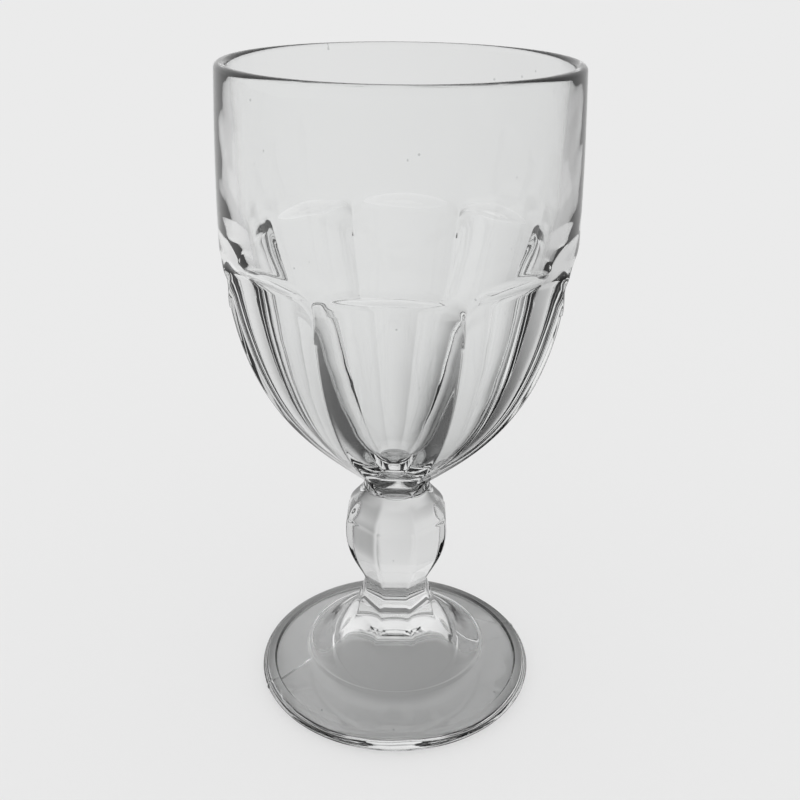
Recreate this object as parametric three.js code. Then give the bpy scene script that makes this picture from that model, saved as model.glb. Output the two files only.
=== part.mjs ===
// Stemmed drinking goblet of clear pressed glass: a thick bowl with eight hollow flutes under arches,
// a round neck collar, an eight-sided knop with a sloping shoulder, an eight-sided waist collar and
// a round foot that rises to a dome and is hollow below.
// Millimetres, +Z up, standing on Z = 0, with the middle of one flute facing -Y.
import * as THREE from "three";

// Height of each piece, from the foot up
const footHeight = 23.5;
const footCollarHeight = 7;
const knopHeight = 28;
const neckHeight = 3;
const bowlHeight = 103.5;

// Bowl: round upper wall, lip and inside
const rimDiameter = 82;
const lipThickness = 2.8;
const lipRound = 1.25;
const wallThickness = 4.6; // where the inside turns straight
const insideTop = 76.5; // that height, above the bowl's seam with the neck
const floorThickness = 7; // glass below the lowest point of the inside
const insideSide = 1.6; // power of the inside's curve at the side
const insideFloor = 2.3; // and at the floor

// Flutes: hollow across and curved in height, each under an arch in the round wall
const flutes = 8;
const fluteHeight = 59.5; // above the seam
const fluteRidgeRadius = 42.05; // over the ridges, at their top
const ledgeDepth = 0.1; // how far the round wall stands out beyond the ridges
const fluteHollow = 0.65; // depth across a flute
const hollowRise = 18; // height over which a flute turns hollow
const archDrop = 0.4; // arch top below the height of the flutes
const archCorner = 5; // rounded corners of the arch
const archLap = 0.25; // neighbouring arches run into each other by this much
const archSlope = 0.83; // how far the arch opens for each millimetre outwards
const archFoot = 9; // the arches start this far below their top
const ridgeSoftness = 0.7; // widths over which edges are rounded
const archSoftness = 1.2;
const ledgeSoftness = 1.6;

// Stem: eight-sided pieces, turned a little against the flutes
const stemSides = 8;
const stemTurn = 2; // degrees
const neckRadius = 8.5;
const neckSoftEdge = 0.4;
const neckSeat = 0.2; // the knop's top stands out beyond the neck by this much
const bowlSeat = 0.55; // the bowl's base stands out beyond the neck by this much
const knopRadius = 14.3; // over the corners, at the belly
const knopBellyHeight = 16;
const shoulderHeight = 20;
const shoulderInset = 0.3;
const shoulderCut = 0.6; // the round shoulder takes this much off the corners
const shoulderSoftness = 0.7;
const cornerSoftness = 0.5;
const waistRadius = 8.9; // over the corners, at the narrowest
const waistBandHeight = 3.5; // plain band below the knop
const waistStep = 0.4; // step below that band
const collarFootRadius = 10; // over the corners, where it meets the foot
const collarLipHeight = 0.9;

// Foot: rounded rim, sloping flange, a dome that rises to the collar and a hollow below it
const footDiameter = 74.6;
const rimWidth = 3.8; // half of the rounded rim's width
const rimHeight = 4.5;
const rimGroove = 0.35; // the flange starts this far below the rim's top
const domeRadius = 24.2; // ring where the dome meets the flange
const domeRingHeight = 8.8;
const domeSeat = 0.3; // the dome's top stands out beyond the collar by this much
const hollowRadius = 23;
const hollowDepth = 13;

// Fineness of the surfaces
const roundSegments = 64;
const columnsPerFlute = 10;
const columnsPerSide = 4;
const fluteRows = 12;
const archRows = 11;
const wallRows = 4;
const insideRows = 14;
const finePoints = 60; // along outlines that are only measured
const cutPasses = 3; // an arch's width depends on the radius that it cuts to

const at = (radius, height) => new THREE.Vector2(radius, height);
const degrees = THREE.MathUtils.degToRad;
const acrossFlats = (sides) => Math.cos(Math.PI / sides); // as a share of the size over corners

// Points after the first along a curve between two points. Each pull is a share of the way
// across and a share of the way up.
const curve = (from, to, firstPull, secondPull, steps) => {
  const pulled = ([across, up]) =>
    at(from.x + across * (to.x - from.x), from.y + up * (to.y - from.y));
  return new THREE.CubicBezierCurve(from, pulled(firstPull), pulled(secondPull), to)
    .getPoints(steps)
    .slice(1);
};

// Points along part of an ellipse, between two angles in degrees from the outward direction.
const arc = (centre, width, height, fromAngle, toAngle, steps) =>
  new THREE.EllipseCurve(
    centre.x, centre.y, width, height, degrees(fromAngle), degrees(toAngle), toAngle < fromAngle,
  ).getPoints(steps);

// The radius of a rising outline at any height.
const radiusByHeight = (outline) => (height) => {
  const above = outline.findIndex((point) => point.y > height);
  if (above < 0) return outline.at(-1).x;
  if (above === 0) return outline[0].x;
  const [low, high] = [outline[above - 1], outline[above]];
  return low.x + ((high.x - low.x) * (height - low.y)) / (high.y - low.y);
};

// The smaller or larger of two sizes, with the corner between them rounded over a width.
const softMin = (a, b, width) => {
  const overlap = Math.max(width - Math.abs(a - b), 0);
  return Math.min(a, b) - (overlap * overlap) / (4 * width);
};
const softMax = (a, b, width) => -softMin(-a, -b, width);

// A shape turned about Z, from an outline that starts and ends on the axis.
const turned = (outline, segments = roundSegments, start = 0) =>
  new THREE.LatheGeometry(outline, segments, start).rotateX(Math.PI / 2);

// Gives a turned shape sides, the first facing -Y or turned from there by some degrees. Each point
// moves to the radius for its angle from the middle of a side, its radius and its height.
const sided = (geometry, sides, turn, radiusAt) => {
  const half = Math.PI / sides;
  const points = geometry.getAttribute("position");
  const point = new THREE.Vector3();
  for (let i = 0; i < points.count; i++) {
    point.fromBufferAttribute(points, i);
    const radius = Math.hypot(point.x, point.y);
    const fromFront = Math.atan2(point.x, -point.y);
    const side = Math.round(fromFront / (2 * half));
    const offset = fromFront - side * 2 * half;
    const crowded = half * Math.sin((offset / half) * (Math.PI / 2)); // columns crowd at the edges
    const angle = side * 2 * half + crowded + degrees(turn);
    const moved = radius && radiusAt(Math.abs(crowded), radius, point.z);
    points.setXYZ(i, moved * Math.sin(angle), -moved * Math.cos(angle), point.z);
  }
  return geometry;
};

// Radius of a flat side at an angle from its middle, rounded towards the next side.
const flatSide = (cornerRadius, offset, sides, softness) => {
  const face = cornerRadius * acrossFlats(sides);
  const beside = (2 * Math.PI) / sides - offset;
  return softMin(face / Math.cos(offset), face / Math.cos(beside), softness);
};

const makeBowl = () => {
  const half = Math.PI / flutes;
  const archTop = fluteHeight - archDrop;
  const wallFoot = archTop - archFoot;
  const bellyRadius = fluteRidgeRadius + ledgeDepth;
  const archFace = fluteRidgeRadius * acrossFlats(flutes) - fluteHollow;
  const archHalf = archFace * Math.tan(half) + archLap;
  const lipHeight = bowlHeight - lipRound;

  // Outlines of the ridges, the round wall with its lip, and the inside
  const seat = at(neckRadius + bowlSeat, 0);
  const ridgeStart = at(seat.x / acrossFlats(flutes), 0);
  const ridgeEnd = at(fluteRidgeRadius, fluteHeight);
  const ridge = [ridgeStart, ...curve(ridgeStart, ridgeEnd, [0.381, 0.174], [0.941, 0.414], finePoints)];
  const ridgeAt = radiusByHeight(ridge);
  const lip = arc(at(rimDiameter / 2 - lipRound, lipHeight), lipRound, lipRound, 0, 90, 3);
  const belly = at(bellyRadius, wallFoot);
  const wall = [belly, ...curve(belly, lip[0], [-0.17, 0.44], [0.26, 0.69], finePoints)];
  const wallAt = radiusByHeight(wall);
  const lipCentre = at(rimDiameter / 2 - lipThickness + lipRound, lipHeight);
  const innerLip = arc(lipCentre, lipRound, lipRound, 90, 180, 3);
  const insideRadius = fluteRidgeRadius - wallThickness;
  const rounded = [];
  for (let i = 0; i <= insideRows; i++) {
    const share = 1 - Math.cos((Math.PI / 2) * (i / insideRows));
    const fullness = (1 - (1 - share) ** insideSide) ** (1 / insideFloor);
    rounded.push(at(insideRadius * fullness, floorThickness + share * (insideTop - floorThickness)));
  }
  const inside = [
    ...rounded,
    ...curve(rounded.at(-1), innerLip.at(-1), [0.15, 0.33], [0.55, 0.67], 4).slice(0, -1),
  ];

  // Rows up the outside, close together round the arches
  const rows = [];
  for (let i = 1; i <= fluteRows; i++) rows.push((wallFoot * i) / fluteRows);
  const archRise = archFoot + archSoftness;
  for (let i = 1; i <= archRows; i++) rows.push(wallFoot + (archRise * i) / archRows);
  const archEnd = rows.at(-1);
  const wallRow = (lipHeight - archEnd) / (wallRows + 1);
  for (let i = 1; i <= wallRows; i++) rows.push(archEnd + wallRow * i);

  // Distance beyond an arch's rounded outline, below nothing inside it
  const beyondArch = (across, height) => {
    const side = across - archHalf + archCorner;
    const over = height - archTop + archCorner;
    const corner = side > 0 && over > 0 ? Math.hypot(side, over) : Math.max(side, over);
    return corner - archCorner;
  };
  // How far out a flute and its arch are, at an angle from the flute's middle
  const fluteRadius = (offset, radius, height) => {
    const hollow = fluteHollow * Math.min(height / hollowRise, 1);
    const across = Math.tan(offset) / Math.tan(half);
    let face = ridgeAt(height) * acrossFlats(flutes) - hollow * (1 - across ** 2);
    if (height > wallFoot) {
      const ledge = archFace + beyondArch(radius * Math.sin(offset), height) / archSlope;
      face = softMax(face, ledge, archSoftness);
    }
    return face / Math.cos(offset);
  };
  const outside = (offset, startRadius, height) => {
    let radius = startRadius;
    for (let i = 0; i < cutPasses; i++) {
      const here = fluteRadius(offset, radius, height);
      const beside = fluteRadius(2 * half - offset, radius, height);
      radius = softMin(here, beside, ridgeSoftness);
      if (height > wallFoot) radius = softMin(wallAt(height), radius, ledgeSoftness);
    }
    return radius;
  };
  const outsideAt = (height) => (height > wallFoot ? wallAt(height) : ridgeAt(height));
  const insideAt = radiusByHeight([...inside, innerLip.at(-1)]);
  const outline = [
    at(0, 0), seat, ...rows.map((height) => at(outsideAt(height), height)),
    ...lip, ...innerLip, ...inside.toReversed(),
  ];
  return sided(turned(outline, flutes * columnsPerFlute), flutes, 0, (offset, radius, height) => {
    const isOutside = height < lipHeight - lipRound / 2 && radius > insideAt(height) + lipRound / 2;
    return isOutside ? outside(offset, radius, height) : radius;
  });
};

const makeNeckCollar = () => {
  const seam = neckRadius - neckSoftEdge;
  return turned([
    at(0, 0),
    at(seam, 0),
    at(neckRadius, neckSoftEdge),
    at(neckRadius, neckHeight - neckSoftEdge),
    at(seam, neckHeight),
    at(0, neckHeight),
  ]);
};

const makeKnop = () => {
  const base = at(waistRadius, 0);
  const belly = at(knopRadius, knopBellyHeight);
  const shoulder = at(knopRadius - shoulderInset, shoulderHeight);
  const domeFoot = at(shoulder.x - shoulderCut, shoulderHeight);
  const neck = at(neckRadius + neckSeat, knopHeight);
  const sides = [
    base,
    ...curve(base, belly, [0.24, 0.24], [1, 0.53], 9),
    ...curve(belly, shoulder, [0, 0.31], [0.33, 0.69], 5),
  ];
  const dome = [domeFoot, ...curve(domeFoot, neck, [0.05, 0.39], [1, 0.72], 9)];
  const cornerAt = radiusByHeight(sides);
  const domeAt = radiusByHeight(dome);
  const outline = [at(0, 0), ...sides, ...dome.slice(1), at(0, knopHeight)];
  return sided(
    turned(outline, stemSides * columnsPerSide), stemSides, stemTurn,
    (offset, radius, height) => {
      const flat = flatSide(cornerAt(height), offset, stemSides, cornerSoftness);
      const cut = domeAt(height) + Math.max(shoulderHeight - height, 0);
      return softMin(flat, cut, shoulderSoftness);
    },
  );
};

const makeFootCollar = () => {
  const bandFoot = footCollarHeight - waistBandHeight;
  const outline = [
    at(0, 0),
    at(collarFootRadius, 0),
    at(collarFootRadius, collarLipHeight),
    at(waistRadius + waistStep, bandFoot - waistStep),
    at(waistRadius, bandFoot),
    at(waistRadius, footCollarHeight),
    at(0, footCollarHeight),
  ];
  return turned(outline, stemSides, Math.PI / stemSides + degrees(stemTurn));
};

const makeFoot = () => {
  const rimCentre = at(footDiameter / 2 - rimWidth, rimHeight / 2);
  const rim = arc(rimCentre, rimWidth, rimHeight / 2, -90, 82, 9);
  const groove = at(rimCentre.x, rimHeight - rimGroove);
  const ring = at(domeRadius, domeRingHeight);
  const top = at(collarFootRadius + domeSeat, footHeight);
  const hollow = at(0, hollowDepth);
  const hollowEdge = at(hollowRadius, 0);
  return turned([
    hollow,
    ...curve(hollow, hollowEdge, [0.62, 0], [0.64, 0.68], 9),
    ...rim,
    groove,
    ...curve(groove, ring, [0.3, 0.3], [0.7, 0.65], 4),
    ...curve(ring, top, [0.37, 0.25], [0.85, 0.49], 8),
    at(0, footHeight),
  ]);
};

// Each piece stands on the one before it.
const pieces = [
  ["foot", makeFoot(), footHeight],
  ["foot_collar", makeFootCollar(), footCollarHeight],
  ["stem_knop", makeKnop(), knopHeight],
  ["neck_collar", makeNeckCollar(), neckHeight],
  ["bowl", makeBowl(), bowlHeight],
];
const goblet = new THREE.Group();
let seam = 0;
for (const [name, geometry, height] of pieces) {
  const glass = new THREE.MeshStandardMaterial({
    color: 0xe6eae9, roughness: 0.03, metalness: 0, transparent: true, opacity: 0.5,
  });
  const mesh = new THREE.Mesh(geometry, glass);
  mesh.name = name;
  mesh.position.z = seam;
  goblet.add(mesh);
  seam += height;
}

export default goblet;
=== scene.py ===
import bisect
import math
from functools import lru_cache

import bpy
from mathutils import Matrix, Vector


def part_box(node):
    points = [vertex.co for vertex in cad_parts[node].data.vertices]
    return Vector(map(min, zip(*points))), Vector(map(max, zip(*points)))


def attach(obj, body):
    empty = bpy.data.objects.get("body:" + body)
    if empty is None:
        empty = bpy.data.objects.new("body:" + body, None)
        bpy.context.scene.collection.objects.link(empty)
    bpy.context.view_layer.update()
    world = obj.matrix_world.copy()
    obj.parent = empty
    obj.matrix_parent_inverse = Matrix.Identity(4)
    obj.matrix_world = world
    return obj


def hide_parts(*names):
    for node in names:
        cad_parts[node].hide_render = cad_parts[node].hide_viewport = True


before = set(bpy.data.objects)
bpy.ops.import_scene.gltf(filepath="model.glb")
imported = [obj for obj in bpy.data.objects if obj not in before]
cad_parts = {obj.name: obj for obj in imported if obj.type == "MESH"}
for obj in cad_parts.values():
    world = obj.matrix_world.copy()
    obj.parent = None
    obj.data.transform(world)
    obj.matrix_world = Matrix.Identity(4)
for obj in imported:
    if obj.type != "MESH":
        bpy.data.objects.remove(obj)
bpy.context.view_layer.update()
print("frame loaded:", ", ".join(sorted(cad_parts)))

mm = 0.001
samePlace = 0.01  # millimetres: closer than this counts as one place
weldReach = 0.002 * mm
smoothAngle = 50  # degrees: sharper edges than this stay sharp
levelNormal = 0.99  # upward part of a level face's normal, at least


# Points after the first on a curve. Each pull is a share of the way out and a share of the way up.
def curvePoints(start, end, firstPull, secondPull, count):
    points = []
    for i in range(1, count + 1):
        t = i / count
        weights = (3 * t * (1 - t) ** 2, 3 * t * t * (1 - t), t ** 3)
        point = []
        for axis in (0, 1):
            stops = (firstPull[axis], secondPull[axis], 1)
            share = sum(weight * stop for weight, stop in zip(weights, stops))
            point.append(start[axis] + (end[axis] - start[axis]) * share)
        points.append(tuple(point))
    return points


# Points on an arc, both ends included, in degrees from the outward direction.
def arcPoints(centre, radius, fromAngle, toAngle, count):
    points = []
    for i in range(count + 1):
        angle = math.radians(fromAngle + (toAngle - fromAngle) * i / count)
        points.append((centre[0] + radius * math.cos(angle), centre[1] + radius * math.sin(angle)))
    return points


# The radius of a rising outline at any height.
def radiusByHeight(points):
    ordered = sorted(points, key=lambda point: point[1])
    heights = [point[1] for point in ordered]

    def radiusAt(height):
        i = min(max(bisect.bisect_left(heights, height), 1), len(ordered) - 1)
        low, high = ordered[i - 1], ordered[i]
        share = (height - low[1]) / max(high[1] - low[1], 1e-9)
        return low[0] + (high[0] - low[0]) * min(max(share, 0), 1)

    return radiusAt


# The smaller or larger of two sizes, with the corner between them rounded over a width.
def softMin(a, b, width):
    overlap = max(width - abs(a - b), 0) / width
    return min(a, b) - overlap * overlap * width / 4


def softMax(a, b, width):
    return -softMin(-a, -b, width)


# Angle from the middle of the nearest side of a form with equal sides, the first of which faces -Y.
def angleOnSide(angle, sides):
    step = 2 * math.pi / sides
    fromFront = angle + math.pi / 2
    return (fromFront + step / 2) % step - step / 2


# Moves an angle on a side towards the side's ends, so that columns crowd at the corners.
def crowdToCorners(offset, half):
    return half * math.sin(offset / half * math.pi / 2)


# How far out a flat-sided form is, at an angle from the middle of a side.
def flatSideRadius(face, offset, sides, edgeRound):
    here = face / math.cos(offset)
    beside = face / math.cos(2 * math.pi / sides - abs(offset))
    return softMin(here, beside, edgeRound)


# An outline drawn point by point in the XZ plane and turned round the axis into a closed body.
def spinOutline(name, outline, steps):
    bpy.ops.object.select_all(action="DESELECT")
    bpy.ops.mesh.primitive_plane_add(size=mm)
    piece = bpy.context.object
    piece.name = name
    piece.data.name = name
    bpy.ops.object.mode_set(mode="EDIT")
    bpy.ops.mesh.select_all(action="SELECT")
    bpy.ops.mesh.merge(type="CENTER")
    radius, height = outline[0]
    bpy.ops.transform.translate(value=(radius * mm, 0, height * mm))
    for nextRadius, nextHeight in outline[1:]:
        step = ((nextRadius - radius) * mm, 0, (nextHeight - height) * mm)
        bpy.ops.mesh.extrude_vertices_move(TRANSFORM_OT_translate={"value": step})
        radius, height = nextRadius, nextHeight
    bpy.ops.object.mode_set(mode="OBJECT")
    bpy.ops.object.modifier_add(type="SCREW")
    turn = piece.modifiers[-1]
    turn.steps = steps
    turn.render_steps = steps
    turn.use_merge_vertices = True
    turn.merge_threshold = weldReach
    bpy.ops.object.modifier_apply(modifier=turn.name)
    bpy.ops.object.mode_set(mode="EDIT")
    bpy.ops.mesh.select_all(action="SELECT")
    bpy.ops.mesh.remove_doubles(threshold=weldReach)
    bpy.ops.mesh.normals_make_consistent(inside=False)
    bpy.ops.object.mode_set(mode="OBJECT")
    return piece


# Moves every point of a spun body: shape gives a new angle and radius for an angle, radius and height.
def shapeSpun(piece, shape):
    for vertex in piece.data.vertices:
        x, y, z = (value / mm for value in vertex.co)
        radius = math.hypot(x, y)
        if radius < samePlace:
            continue
        angle, radius = shape(math.atan2(y, x), radius, z)
        vertex.co.x = radius * math.cos(angle) * mm
        vertex.co.y = radius * math.sin(angle) * mm
    piece.data.update()


# The flat faces in a seam, inside the touching outline, get the second material.
def markJoint(piece, seamHeight, touches):
    for face in piece.data.polygons:
        x, y, z = (value / mm for value in face.center)
        level = abs(face.normal.z) > levelNormal and abs(z - seamHeight) < samePlace
        if level and touches(math.atan2(y, x), math.hypot(x, y)):
            face.material_index = 1


def finishPiece(piece, node, glass):
    piece.data.materials.append(glass)
    piece.data.materials.append(fusedJoint)
    bpy.ops.object.select_all(action="DESELECT")
    piece.select_set(True)
    bpy.context.view_layer.objects.active = piece
    bpy.ops.object.shade_smooth_by_angle(angle=math.radians(smoothAngle))
    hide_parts(node)
    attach(piece, "root")
    print("made", piece.name, len(piece.data.polygons), "faces")


# Heights of the seams between the pieces, from the frame
baseOf = {name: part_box(name)[0].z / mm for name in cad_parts}
topOf = {name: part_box(name)[1].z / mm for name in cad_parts}


# Materials

glassLook = dict(
    tint=(0.985, 0.99, 0.988, 1),
    ior=1.49,
    roughness=0.0,
    waveScale=55,  # waves in a metre
    waveDepth=0.22 * mm,
    waveDetail=1.5,
    speckScale=160,
    speckSize=0.05,
    speckFrom=0.6,  # only cells above this hold a speck
    speckTint=(0.55, 0.56, 0.56, 1),
)


def addNode(tree, kind, **values):
    node = tree.nodes.new("ShaderNode" + kind)
    for name, value in values.items():
        setattr(node, name, value)
    return node


# Pressed glass: a slightly wavy surface and a few fine specks.
def makeGlassFinish():
    group = bpy.data.node_groups.new("glassFinish", "ShaderNodeTree")
    for name, kind in (
        ("Vector", "Vector"), ("Tint", "Color"), ("Wave Scale", "Float"), ("Wave Depth", "Float"),
        ("Speck Scale", "Float"), ("Speck Size", "Float"), ("Speck Tint", "Color"),
    ):
        group.interface.new_socket(name, in_out="INPUT", socket_type="NodeSocket" + kind)
    group.interface.new_socket("Color", in_out="OUTPUT", socket_type="NodeSocketColor")
    group.interface.new_socket("Normal", in_out="OUTPUT", socket_type="NodeSocketVector")
    given = group.nodes.new("NodeGroupInput")
    result = group.nodes.new("NodeGroupOutput")
    wave = addNode(group, "TexNoise")
    wave.inputs["Detail"].default_value = glassLook["waveDetail"]
    group.links.new(given.outputs["Vector"], wave.inputs["Vector"])
    group.links.new(given.outputs["Wave Scale"], wave.inputs["Scale"])
    bump = addNode(group, "Bump")
    group.links.new(given.outputs["Wave Depth"], bump.inputs["Distance"])
    group.links.new(wave.outputs["Fac"], bump.inputs["Height"])
    group.links.new(bump.outputs["Normal"], result.inputs["Normal"])

    cells = addNode(group, "TexVoronoi")
    group.links.new(given.outputs["Vector"], cells.inputs["Vector"])
    group.links.new(given.outputs["Speck Scale"], cells.inputs["Scale"])
    near = addNode(group, "Math", operation="LESS_THAN")
    group.links.new(cells.outputs["Distance"], near.inputs[0])
    group.links.new(given.outputs["Speck Size"], near.inputs[1])
    chosen = addNode(group, "Math", operation="GREATER_THAN")
    group.links.new(cells.outputs["Color"], chosen.inputs[0])
    chosen.inputs[1].default_value = glassLook["speckFrom"]
    speck = addNode(group, "Math", operation="MULTIPLY")
    group.links.new(near.outputs["Value"], speck.inputs[0])
    group.links.new(chosen.outputs["Value"], speck.inputs[1])
    colour = addNode(group, "Mix", data_type="RGBA")
    group.links.new(speck.outputs["Value"], colour.inputs["Factor"])
    group.links.new(given.outputs["Tint"], colour.inputs["A"])
    group.links.new(given.outputs["Speck Tint"], colour.inputs["B"])
    group.links.new(colour.outputs["Result"], result.inputs["Color"])
    return group


def makeGlass(name, look):
    material = bpy.data.materials.new(name)
    material.use_nodes = True
    tree = material.node_tree
    shader = tree.nodes["Principled BSDF"]
    finish = addNode(tree, "Group", node_tree=glassFinish)
    finish.inputs["Tint"].default_value = look["tint"]
    finish.inputs["Wave Scale"].default_value = look["waveScale"]
    finish.inputs["Wave Depth"].default_value = look["waveDepth"]
    finish.inputs["Speck Scale"].default_value = look["speckScale"]
    finish.inputs["Speck Size"].default_value = look["speckSize"]
    finish.inputs["Speck Tint"].default_value = look["speckTint"]
    place = addNode(tree, "TexCoord")
    tree.links.new(place.outputs["Object"], finish.inputs["Vector"])
    tree.links.new(finish.outputs["Color"], shader.inputs["Base Color"])
    tree.links.new(finish.outputs["Normal"], shader.inputs["Normal"])
    shader.inputs["IOR"].default_value = look["ior"]
    shader.inputs["Roughness"].default_value = look["roughness"]
    shader.inputs["Transmission Weight"].default_value = 1
    return material


# Where two pieces are fused there is no surface to see.
def makeFusedJoint():
    material = bpy.data.materials.new("fusedJoint")
    material.use_nodes = True
    material.node_tree.nodes["Principled BSDF"].inputs["Alpha"].default_value = 0
    return material


glassFinish = makeGlassFinish()
bowlGlass = makeGlass("bowlGlass", glassLook)
stemGlass = makeGlass("stemGlass", glassLook)
footGlass = makeGlass("footGlass", glassLook)
fusedJoint = makeFusedJoint()


# Bowl

bowlSizes = dict(
    rimWidth=82,
    lipThickness=2.8,
    lipRound=1.25,
    bellyRadius=42.15,  # round wall above the flutes
    wallPulls=((-0.17, 0.44), (0.26, 0.69)),
    floorThickness=7,
    insideTop=76.5,  # where the rounded inside turns straight, above the seam
    insideRadius=37.45,
    insideSide=1.6,  # powers of the inside's curve
    insideFloor=2.3,
    upperPulls=((0.15, 0.33), (0.55, 0.67)),
    flutes=8,
    fluteHeight=59.5,
    ridgeRadius=42.05,
    ridgePulls=((0.381, 0.174), (0.941, 0.414)),
    hollow=0.65,  # across each flute
    hollowRise=18,  # height over which the flutes turn hollow
    archDrop=0.4,
    archReach=9,  # how far the ends of an arch run down beside the ridges
    archCorner=5,
    archLap=0.25,
    archSlope=0.83,
    seat=0.55,  # the base stands out beyond the neck collar by this much
    ridgeRound=0.7,
    archRound=1.2,
    edgeRound=3,  # the edge of the arches
    edgeLeast=0.4,
    edgeGrows=0.4,
    columnsPerFlute=48,
    fluteRow=1,  # spacing of the rows up the flutes
    archRow=0.25,  # round the arches
    archRowsOver=6,  # up to this far over them
    wallRow=1.8,
    ridgeSteps=300,
    wallSteps=200,
    insideSteps=60,
    upperSteps=14,
    lipSteps=8,
    lipClear=0.5,  # the shaping stays this far below the lip
    insideClear=0.6,  # and off the inside
    cutRounds=3,
)

neckSizes = dict(radius=8.5, edge=0.4, edgeSteps=4, columns=192)


def makeBowl():
    s = bowlSizes
    base, top = baseOf["bowl"], topOf["bowl"]
    half = math.pi / s["flutes"]
    touching = neckSizes["radius"] - neckSizes["edge"]
    neckFace = neckSizes["radius"] + s["seat"]
    fluteTop = base + s["fluteHeight"]
    archTop = fluteTop - s["archDrop"]
    archFace = s["ridgeRadius"] * math.cos(half) - s["hollow"]
    archHalf = archFace * math.tan(half) + s["archLap"]
    wallFoot = archTop - s["archReach"]
    lipHeight = top - s["lipRound"]

    # outlines of the ridges, the round wall and the inside
    ridgeStart = (neckFace / math.cos(half), base)
    ridge = [ridgeStart] + curvePoints(
        ridgeStart, (s["ridgeRadius"], fluteTop), *s["ridgePulls"], s["ridgeSteps"])
    ridgeAt = radiusByHeight(ridge)
    lipCentre = (s["rimWidth"] / 2 - s["lipRound"], lipHeight)
    lipOut = arcPoints(lipCentre, s["lipRound"], 0, 90, s["lipSteps"])
    wallStart = (s["bellyRadius"], wallFoot)
    wall = [wallStart] + curvePoints(wallStart, lipOut[0], *s["wallPulls"], s["wallSteps"])
    wallAt = radiusByHeight(wall)
    innerLip = s["rimWidth"] / 2 - s["lipThickness"]
    lipIn = arcPoints((innerLip + s["lipRound"], lipHeight), s["lipRound"], 90, 180, s["lipSteps"])
    floor = (0, base + s["floorThickness"])
    rounded = s["insideTop"] - s["floorThickness"]
    lower = []
    for i in range(1, s["insideSteps"] + 1):
        share = 1 - math.cos(math.pi / 2 * i / s["insideSteps"])
        fullness = (1 - (1 - share) ** s["insideSide"]) ** (1 / s["insideFloor"])
        lower.append((s["insideRadius"] * fullness, floor[1] + share * rounded))
    upper = curvePoints(lower[-1], lipIn[-1], *s["upperPulls"], s["upperSteps"])
    insideAt = radiusByHeight([floor] + lower + upper)

    # rows up the outer wall: close together round the arches
    fluteRow, archRow, wallRow = s["fluteRow"], s["archRow"], s["wallRow"]
    archRows = int((fluteTop + s["archRowsOver"] - wallFoot) / archRow)
    rows = [base + i * fluteRow for i in range(1, int((wallFoot - base) / fluteRow))]
    rows += [wallFoot + i * archRow for i in range(archRows)]
    rows += [rows[-1] + i * wallRow for i in range(1, int((lipHeight - rows[-1]) / wallRow))]
    outline = [(0, base), (touching, base), (neckFace, base)]
    outline += [(max(ridgeAt(z), wallAt(z)) if z > wallFoot else ridgeAt(z), z) for z in rows]
    outline += lipOut + lipIn[1:]
    outline += list(reversed(lower + upper[:-1])) + [floor]
    piece = spinOutline("flutedBowl", outline, s["flutes"] * s["columnsPerFlute"])

    # distance beyond the arch's rounded outline, less than nothing inside it
    def beyondArch(across, height):
        corner = s["archCorner"]
        side = across - (archHalf - corner)
        over = height - (archTop - corner)
        if side > 0 and over > 0:
            return math.hypot(side, over) - corner
        return max(side, over) - corner

    # how far out a flute and its arch are, at an angle from the flute's middle
    def cutRadius(offset, radius, height):
        hollow = s["hollow"] * min((height - base) / s["hollowRise"], 1)
        middle = ridgeAt(height) * math.cos(half) - hollow
        across = math.tan(offset) / math.tan(half)
        face = middle + hollow * across * across
        if height > wallFoot:
            ledgeFace = archFace + beyondArch(radius * math.sin(offset), height) / s["archSlope"]
            face = softMax(face, ledgeFace, s["archRound"])
        return face / math.cos(offset)

    @lru_cache(None)
    def outerRadius(offset, height):
        radius = wallAt(height) if height > wallFoot else ridgeAt(height)
        for _ in range(s["cutRounds"]):
            here = cutRadius(offset, radius, height)
            beside = cutRadius(2 * half - offset, radius, height)
            radius = softMin(here, beside, s["ridgeRound"])
            if height > wallFoot:
                # the edge is sharper down beside the ridges
                rounding = min(s["edgeRound"], s["edgeLeast"] + (height - wallFoot) * s["edgeGrows"])
                radius = softMin(wallAt(height), radius, rounding)
        return radius

    def shape(angle, radius, height):
        offset = angleOnSide(angle, s["flutes"])
        closer = crowdToCorners(offset, half)
        angle += closer - offset
        onWall = base - samePlace < height < lipHeight - s["lipClear"]
        outside = onWall and radius > insideAt(height) + s["insideClear"]
        inSeam = height < base + samePlace and radius < touching + samePlace
        if inSeam or not outside:
            return angle, radius
        return angle, outerRadius(round(abs(closer), 5), round(height, 3))

    shapeSpun(piece, shape)
    markJoint(piece, base, lambda angle, radius: radius < touching)
    finishPiece(piece, "bowl", bowlGlass)


makeBowl()


# Neck collar

def makeNeckCollar():
    s = neckSizes
    base, top = baseOf["neck_collar"], topOf["neck_collar"]
    radius, edge = s["radius"], s["edge"]
    outline = [(0, base), (radius - edge, base)]
    outline += arcPoints((radius - edge, base + edge), edge, -90, 0, s["edgeSteps"])[1:]
    outline += arcPoints((radius - edge, top - edge), edge, 0, 90, s["edgeSteps"])
    outline += [(0, top)]
    piece = spinOutline("neckCollar", outline, s["columns"])
    markJoint(piece, base, lambda angle, distance: distance < radius - edge)
    markJoint(piece, top, lambda angle, distance: distance < radius - edge)
    finishPiece(piece, "neck_collar", stemGlass)


makeNeckCollar()


# Knop

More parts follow.
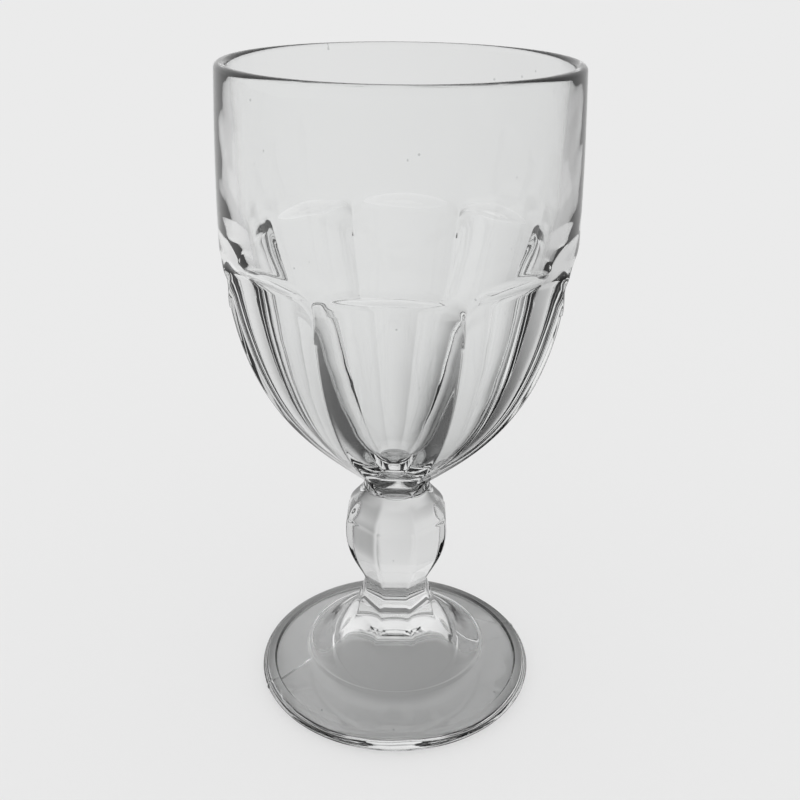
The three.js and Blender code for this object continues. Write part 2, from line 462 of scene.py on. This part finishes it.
stemSizes = dict(
    sides=8,
    turn=2,  # degrees, against the flutes
    columnsPerSide=24,
    cornerRound=0.5,
    knopRadius=14.3,  # over the corners
    knopBelly=16,
    shoulder=20,
    shoulderInset=0.3,
    shoulderRound=0.7,
    shoulderReach=3,  # the shoulder's rounding starts this far below it
    domeRadius=13.4,  # sloping top of the knop
    domePulls=((0.05, 0.39), (1, 0.72)),
    domeFlat=0.95,  # its radius over the middle of a side, as a share
    domeFade=3,  # it turns round over this height below the neck
    knopLowPulls=((0.24, 0.24), (1, 0.53)),
    knopHighPulls=((0, 0.31), (0.33, 0.69)),
    knopLowSteps=30,
    knopHighSteps=14,
    domeSteps=28,
    neckSeat=0.2,
    waistRadius=8.9,
    waistBand=3.5,
    waistStep=0.4,
    collarFoot=10,
    collarLip=0.9,
)


# Turns a spun body eight-sided: the outline's radius is the one over the corners.
def stemFacets(piece, amountAt):
    s = stemSizes
    half = math.pi / s["sides"]
    turn = math.radians(s["turn"])

    def shape(angle, radius, height):
        offset = angleOnSide(angle, s["sides"])
        closer = crowdToCorners(offset, half)
        flat = flatSideRadius(radius * math.cos(half), closer, s["sides"], s["cornerRound"])
        amount = amountAt(radius, height)
        return angle + closer - offset + turn, radius + (flat - radius) * amount

    shapeSpun(piece, shape)


def insideStem(cornerRadius):
    s = stemSizes
    half = math.pi / s["sides"]

    def touches(angle, radius):
        offset = angleOnSide(angle - math.radians(s["turn"]), s["sides"])
        return radius * math.cos(offset) < cornerRadius * math.cos(half)

    return touches


def makeKnop():
    s = stemSizes
    base, top = baseOf["stem_knop"], topOf["stem_knop"]
    half = math.pi / s["sides"]
    turn = math.radians(s["turn"])
    touching = neckSizes["radius"] - neckSizes["edge"]
    waist = (s["waistRadius"], base)
    belly = (s["knopRadius"], base + s["knopBelly"])
    shoulder = (s["knopRadius"] - s["shoulderInset"], base + s["shoulder"])
    domeFoot = (s["domeRadius"], shoulder[1])
    neck = (neckSizes["radius"] + s["neckSeat"], top)
    sides = [waist] + curvePoints(waist, belly, *s["knopLowPulls"], s["knopLowSteps"])
    sides += curvePoints(belly, shoulder, *s["knopHighPulls"], s["knopHighSteps"])
    dome = [domeFoot] + curvePoints(domeFoot, neck, *s["domePulls"], s["domeSteps"])
    cornerAt = radiusByHeight(sides)
    domeAt = radiusByHeight(dome)
    outline = [(0, base)] + sides + dome[1:] + [(touching, top), (0, top)]
    piece = spinOutline("stemKnop", outline, s["sides"] * s["columnsPerSide"])

    def shape(angle, radius, height):
        offset = angleOnSide(angle, s["sides"])
        closer = crowdToCorners(offset, half)
        angle += closer - offset + turn
        if radius < touching + samePlace and height > top - samePlace:
            return angle, radius
        flat = flatSideRadius(cornerAt(height) * math.cos(half), closer, s["sides"], s["cornerRound"])
        if height < shoulder[1] - s["shoulderReach"]:
            return angle, flat
        # the slope above the shoulder has eight sides and is round at the neck
        roundRadius = domeAt(height)
        sided = flatSideRadius(roundRadius * s["domeFlat"], closer, s["sides"], s["cornerRound"])
        sideShare = min((top - height) / s["domeFade"], 1)
        shoulderRadius = roundRadius + (sided - roundRadius) * sideShare + max(shoulder[1] - height, 0)
        return angle, softMin(flat, shoulderRadius, s["shoulderRound"])

    shapeSpun(piece, shape)
    markJoint(piece, base, insideStem(s["waistRadius"]))
    markJoint(piece, top, lambda angle, distance: distance < touching)
    finishPiece(piece, "stem_knop", stemGlass)


makeKnop()


# Foot collar

def makeFootCollar():
    s = stemSizes
    base, top = baseOf["foot_collar"], topOf["foot_collar"]
    bandFoot = top - s["waistBand"]
    outline = [
        (0, base),
        (s["collarFoot"], base),
        (s["collarFoot"], base + s["collarLip"]),
        (s["waistRadius"] + s["waistStep"], bandFoot - s["waistStep"]),
        (s["waistRadius"], bandFoot),
        (s["waistRadius"], top),
        (0, top),
    ]
    piece = spinOutline("footCollar", outline, s["sides"] * s["columnsPerSide"])
    stemFacets(piece, lambda radius, height: 1)
    markJoint(piece, base, insideStem(s["collarFoot"]))
    markJoint(piece, top, insideStem(s["waistRadius"]))
    finishPiece(piece, "foot_collar", stemGlass)


makeFootCollar()


# Foot

footSizes = dict(
    width=74.6,
    rimWidth=3.8,  # rounded rim round the flange
    rimHeight=4.5,
    rimGroove=0.7,  # drop of the flange behind the rim
    rimSteps=24,
    domeRadius=24.2,
    domeRing=8.8,
    beadHeight=0.5,  # fine raised line where the dome meets the flange
    beadWidth=0.6,
    beadSteps=5,  # on each side of its crest
    beadClear=0.1,
    seamHeight=0.2,  # mould seams across the flange and rim, at two corners of the stem
    seamCorners=(-1.5, 2.5),
    seamStart=1,  # beyond the raised line
    seamReach=0.25,  # half its width
    seamFoot=0.5,
    domeSeat=0.3,
    sidesFade=12,  # the dome is round from this far below the collar
    hollowRadius=23,
    hollowDepth=13,
    hollowClear=0.5,
    hollowPulls=((0.62, 0), (0.64, 0.68)),
    flangePulls=((0.3, 0.3), (0.7, 0.65)),
    domePulls=((0.37, 0.25), (0.85, 0.49)),
    hollowSteps=40,
    flangeSteps=24,
    domeSteps=40,
)


def makeFoot():
    s = footSizes
    base, top = baseOf["foot"], topOf["foot"]
    rimCentre = (s["width"] / 2 - s["rimWidth"], base + s["rimHeight"] / 2)
    rim = []
    for i in range(s["rimSteps"]):
        angle = math.radians(-90 + 180 * i / s["rimSteps"])
        out, up = s["rimWidth"] * math.cos(angle), s["rimHeight"] / 2 * math.sin(angle)
        rim.append((rimCentre[0] + out, rimCentre[1] + up))
    groove = (rimCentre[0], base + s["rimHeight"] - s["rimGroove"])
    ring = (s["domeRadius"], base + s["domeRing"])
    domeTop = (stemSizes["collarFoot"] + s["domeSeat"], top)
    slope = [groove] + curvePoints(groove, ring, *s["flangePulls"], s["flangeSteps"])
    slope += curvePoints(ring, domeTop, *s["domePulls"], s["domeSteps"])
    heightAt = radiusByHeight([(height, radius) for radius, height in slope])
    bead = []
    for i in range(-s["beadSteps"], s["beadSteps"] + 1):
        aside = i / s["beadSteps"]
        radius = s["domeRadius"] - s["beadWidth"] * aside
        rise = s["beadHeight"] * (1 + math.cos(math.pi * aside)) / 2
        bead.append((radius, heightAt(radius) + rise))
    hollow = (0, base + s["hollowDepth"])
    outline = [hollow]
    outline += curvePoints(hollow, (s["hollowRadius"], base), *s["hollowPulls"], s["hollowSteps"])
    outline += rim
    outline += [point for point in slope if point[0] > bead[0][0] + s["beadClear"]]
    outline += bead
    outline += [point for point in slope if point[0] < bead[-1][0] - s["beadClear"]]
    outline += [(stemSizes["collarFoot"], top), (0, top)]
    piece = spinOutline("domedFoot", outline, stemSizes["sides"] * stemSizes["columnsPerSide"])

    # the dome turns from the collar's eight sides to round on its way down
    def facetAmount(radius, height):
        if height < base + s["hollowDepth"] + s["hollowClear"]:
            return 0
        return max(1 - (top - height) / s["sidesFade"], 0)

    stemFacets(piece, facetAmount)

    # mould seams: the columns at two stem corners stand up a little on the flange and the rim
    for corner in s["seamCorners"]:
        turn = math.radians(stemSizes["turn"] - 90) + corner * 2 * math.pi / stemSizes["sides"]
        for vertex in piece.data.vertices:
            x, y, z = (value / mm for value in vertex.co)
            along = x * math.cos(turn) + y * math.sin(turn)
            aside = abs(y * math.cos(turn) - x * math.sin(turn))
            onSeam = along > ring[0] + s["seamStart"] and aside < s["seamReach"]
            if onSeam and z > base + s["seamFoot"]:
                outside = max(along - rimCentre[0], 0) / s["rimWidth"]
                vertex.co.z += s["seamHeight"] * (1 - outside) * mm
                grown = 1 + s["seamHeight"] * outside / along
                vertex.co.x *= grown
                vertex.co.y *= grown
    markJoint(piece, top, insideStem(stemSizes["collarFoot"]))
    finishPiece(piece, "foot", footGlass)


makeFoot()


# Camera

cameraPlace = dict(
    reach=239.6,  # from the axis of the glass
    azimuth=2.8,
    height=191.8,
    pitch=24.54,  # looking down
    heading=2.65,
    roll=0.6,
    lens=46.7,
    sensor=36,
    nearest=10,
)


def makeCamera():
    p = cameraPlace
    azimuth = math.radians(p["azimuth"])
    location = (p["reach"] * math.sin(azimuth), -p["reach"] * math.cos(azimuth), p["height"])
    bpy.ops.object.camera_add(
        location=[value * mm for value in location],
        rotation=(math.radians(90 - p["pitch"]), 0, math.radians(p["heading"])))
    camera = bpy.context.object
    camera.name = "photoCamera"
    camera.rotation_euler.rotate_axis("Z", math.radians(p["roll"]))
    camera.data.lens = p["lens"]
    camera.data.sensor_width = p["sensor"]
    camera.data.clip_start = p["nearest"] * mm
    bpy.context.scene.camera = camera


makeCamera()


# Studio

studio = dict(
    background=0.83,  # pale grey behind the glass
    shadowShare=0.35,  # how much of the glass's shadow shows on the floor
    floorSize=6000,
    floorTurn=-20,  # degrees: the bright part of the floor lies behind the glass, a little to the left
    floorBright=0.77,
    paintedSideShade=0.1,  # painted shade on the floor beside and in front of the glass
    paintedFarSideShade=0.6,  # painted shade there too, but farther away
    farReach=(85, 260),  # reaches from the axis, between which the floor changes
    floorFrom=0.45,
    floorTo=0.97,
    paintedHollowShade=0.7,  # painted shade on the floor in the hollow of the foot
    hollowReach=(16.5, 21.5),
    paintedLightUnderFoot=1.0,  # painted light: the floor right under the foot is made brighter
    footReach=(33, 37),
    paintedRimShadow=0.4,  # painted shadow: share of its brightness that the floor keeps along the rim
    rimReach=(38, 60),
    paintedShadowBeside=0.98,  # painted shadow: the share it keeps farther beside the foot
    besideReach=(90, 260),
    skyTurn=-55,  # a large soft light stands on the left behind the glass
    skyBright=0.9,
    skyDim=0.62,
    skyFrom=-0.3,
    skyTo=1,
    bounces=24,
)


# Brightness that changes with the direction from the glass, turned from straight behind it.
def brightTowards(tree, place, turn, nearest, farthest, dim, bright):
    angle = math.radians(cameraPlace["azimuth"] - turn)
    level = addNode(tree, "VectorMath", operation="MULTIPLY")
    level.inputs[1].default_value = (1, 1, 0)
    tree.links.new(place, level.inputs[0])
    outwards = addNode(tree, "VectorMath", operation="NORMALIZE")
    tree.links.new(level.outputs["Vector"], outwards.inputs[0])
    facing = addNode(tree, "VectorMath", operation="DOT_PRODUCT")
    tree.links.new(outwards.outputs["Vector"], facing.inputs[0])
    facing.inputs[1].default_value = (-math.sin(angle), math.cos(angle), 0)
    spread = addNode(tree, "MapRange")
    spread.inputs["From Min"].default_value = farthest
    spread.inputs["From Max"].default_value = nearest
    spread.inputs["To Min"].default_value = dim
    spread.inputs["To Max"].default_value = bright
    tree.links.new(facing.outputs["Value"], spread.inputs["Value"])
    return spread.outputs["Result"]


# A value that changes smoothly between two distances from the axis.
def byReach(tree, reach, start, end, inner, outer):
    change = addNode(tree, "MapRange", interpolation_type="SMOOTHSTEP")
    change.inputs["From Min"].default_value = start * mm
    change.inputs["From Max"].default_value = end * mm
    change.inputs["To Min"].default_value = inner
    change.inputs["To Max"].default_value = outer
    tree.links.new(reach.outputs["Value"], change.inputs["Value"])
    return change.outputs["Result"]


# The share of rays that come straight from the camera or from the floor, and not through the glass.
def plainRays(tree):
    rays = addNode(tree, "LightPath")
    plain = addNode(tree, "Math", operation="MAXIMUM")
    tree.links.new(rays.outputs["Is Camera Ray"], plain.inputs[0])
    tree.links.new(rays.outputs["Is Diffuse Ray"], plain.inputs[1])
    return rays, plain.outputs["Value"]


def makeWorld():
    s = studio
    world = bpy.data.worlds.new("studioWorld")
    world.use_nodes = True
    world.cycles.sampling_method = "NONE"
    bpy.context.scene.world = world
    tree = world.node_tree
    rays, plainShare = plainRays(tree)
    plain = addNode(tree, "Mix")  # the plain background for the camera, an even white sky for the floor
    plain.inputs["A"].default_value = s["background"]
    plain.inputs["B"].default_value = 1
    tree.links.new(rays.outputs["Is Diffuse Ray"], plain.inputs["Factor"])
    view = addNode(tree, "TexCoord").outputs["Generated"]
    seen = addNode(tree, "Mix")
    sky = brightTowards(
        tree, view, s["skyTurn"], s["skyTo"], s["skyFrom"], s["skyDim"], s["skyBright"])
    tree.links.new(plainShare, seen.inputs["Factor"])
    tree.links.new(sky, seen.inputs["A"])
    tree.links.new(plain.outputs["Result"], seen.inputs["B"])
    tree.links.new(seen.outputs["Result"], tree.nodes["Background"].inputs["Color"])


# The floor is pale. In the glass it shows bright behind, with painted shade at the sides and painted
# light and shadow round the foot.
def makeFloor():
    s = studio
    bpy.ops.mesh.primitive_plane_add(size=s["floorSize"] * mm)
    floor = bpy.context.object
    floor.name = "paleFloor"
    material = bpy.data.materials.new("paleFloor")
    material.use_nodes = True
    tree = material.node_tree
    shader = tree.nodes["Principled BSDF"]
    shader.inputs["Roughness"].default_value = 1
    shader.inputs["Specular IOR Level"].default_value = 0
    rays, plainShare = plainRays(tree)
    place = addNode(tree, "TexCoord").outputs["Object"]
    shade = addNode(tree, "Mix")
    reach = addNode(tree, "VectorMath", operation="LENGTH")
    tree.links.new(place, reach.inputs[0])
    # as the glass sees it: bright behind, with painted shade at the sides and in front, darker close to
    # the glass
    inGlass = brightTowards(
        tree, place, s["floorTurn"], s["floorTo"], s["floorFrom"], s["paintedSideShade"], s["floorBright"])
    sideTone = byReach(tree, reach, *s["farReach"], s["paintedSideShade"], s["paintedFarSideShade"])
    tree.links.new(sideTone, inGlass.node.inputs["To Min"])
    # painted shade in the hollow of the foot, painted light right under the foot, a dark painted shadow
    # along its rim and a fainter painted shadow beside it
    paintedShadows = addNode(tree, "Math", operation="MULTIPLY")
    tree.links.new(byReach(tree, reach, *s["rimReach"], s["paintedRimShadow"], 1), paintedShadows.inputs[0])
    tree.links.new(byReach(tree, reach, *s["besideReach"], s["paintedShadowBeside"], 1), paintedShadows.inputs[1])
    paintedShadedTone = addNode(tree, "Math", operation="MULTIPLY")
    tree.links.new(inGlass, paintedShadedTone.inputs[0])
    tree.links.new(paintedShadows.outputs["Value"], paintedShadedTone.inputs[1])
    # painted shade in the hollow, painted light under the rest of the foot
    under = byReach(tree, reach, *s["hollowReach"], s["paintedHollowShade"], s["paintedLightUnderFoot"])
    around = addNode(tree, "Mix")
    tree.links.new(byReach(tree, reach, *s["footReach"], 0, 1), around.inputs["Factor"])
    tree.links.new(under, around.inputs["A"])
    tree.links.new(paintedShadedTone.outputs["Value"], around.inputs["B"])
    tree.links.new(plainShare, shade.inputs["Factor"])
    tree.links.new(around.outputs["Result"], shade.inputs["A"])
    shade.inputs["B"].default_value = s["background"]
    tree.links.new(shade.outputs["Result"], shader.inputs["Base Color"])
    plainShade = addNode(tree, "Emission")
    plainShade.inputs["Color"].default_value = [s["background"]] * 3 + [1]
    softened = addNode(tree, "Math", operation="MULTIPLY")
    tree.links.new(rays.outputs["Is Camera Ray"], softened.inputs[0])
    softened.inputs[1].default_value = 1 - s["shadowShare"]
    looks = addNode(tree, "MixShader")
    tree.links.new(softened.outputs["Value"], looks.inputs["Fac"])
    tree.links.new(shader.outputs["BSDF"], looks.inputs[1])
    tree.links.new(plainShade.outputs["Emission"], looks.inputs[2])
    tree.links.new(looks.outputs["Shader"], tree.nodes["Material Output"].inputs["Surface"])
    floor.data.materials.append(material)


makeWorld()
makeFloor()

scene = bpy.context.scene
scene.view_settings.view_transform = "Standard"
scene.cycles.max_bounces = studio["bounces"]
scene.cycles.transmission_bounces = studio["bounces"]
scene.cycles.transparent_max_bounces = studio["bounces"]

print("studio, camera and sizes done")
